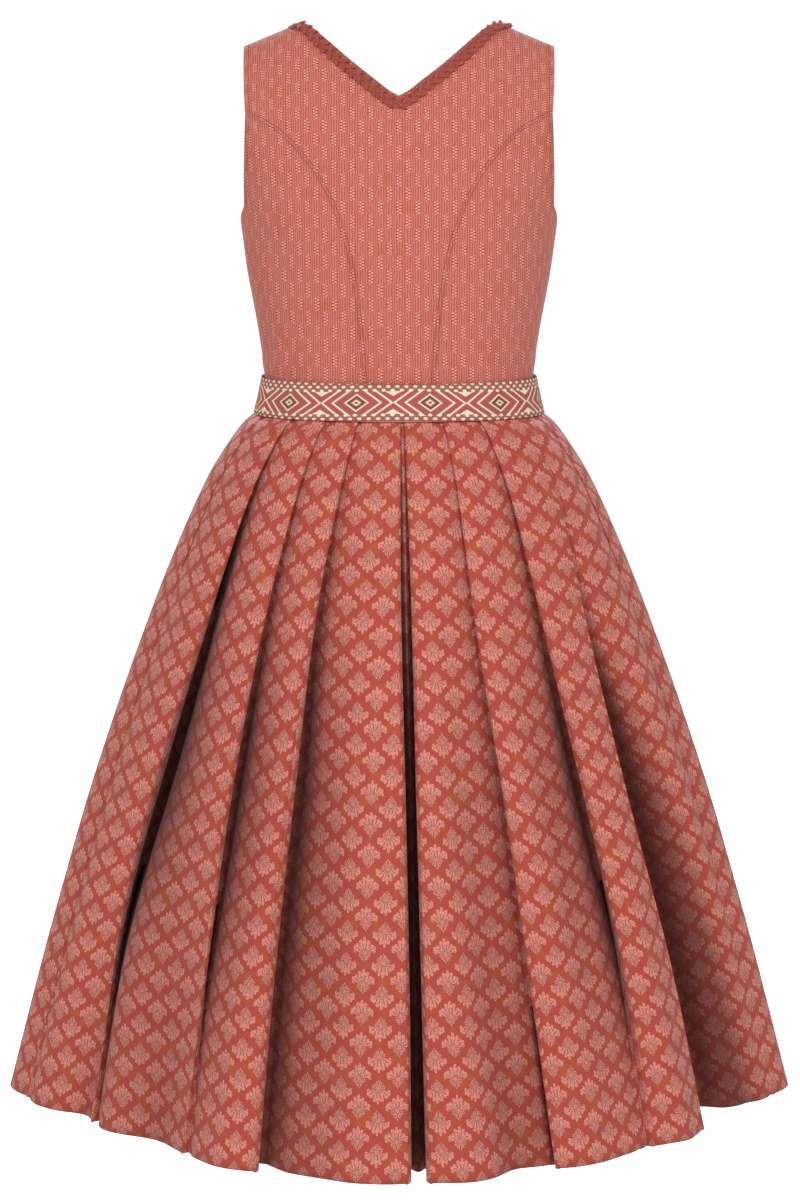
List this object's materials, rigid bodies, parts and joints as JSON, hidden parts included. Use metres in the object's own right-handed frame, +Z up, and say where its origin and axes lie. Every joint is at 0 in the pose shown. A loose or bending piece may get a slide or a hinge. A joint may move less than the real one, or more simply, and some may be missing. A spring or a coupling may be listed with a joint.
{
  "type": "dirndl dress",
  "caption": "Sleeveless princess-seamed dirndl dress with a V back, braided neckline, woven waistband and pleated bell skirt, filled out as worn.",
  "frame": {"origin": "midway between the tops of the two shoulder straps, where the neck of the wearer or of a form holds the dress", "axes": "+Z up towards the shoulders, +Y towards the wearer's front, +X towards the wearer's right; the pictured back faces -Y"},
  "size_m": [0.7272, 0.5929, 1.001],
  "materials": {
    "bodice_cloth": "satin",
    "skirt_cloth": "satin",
    "band_cloth": "matte",
    "neck_braid": "matte"
  },
  "bodies": {
    "root": {"bodice_back_centre": "bodice_cloth", "bodice_back_side_right": "bodice_cloth", "bodice_front_side_right": "bodice_cloth", "bodice_front_centre_right": "bodice_cloth", "bodice_back_side_left": "bodice_cloth", "bodice_front_side_left": "bodice_cloth", "bodice_front_centre_left": "bodice_cloth", "neck_braid_back": "neck_braid", "neck_braid_front_right": "neck_braid", "neck_braid_front_left": "neck_braid", "waistband": "band_cloth", "skirt_back": "skirt_cloth", "skirt_front_right": "skirt_cloth", "skirt_front_left": "skirt_cloth"}
  },
  "joints": []
}
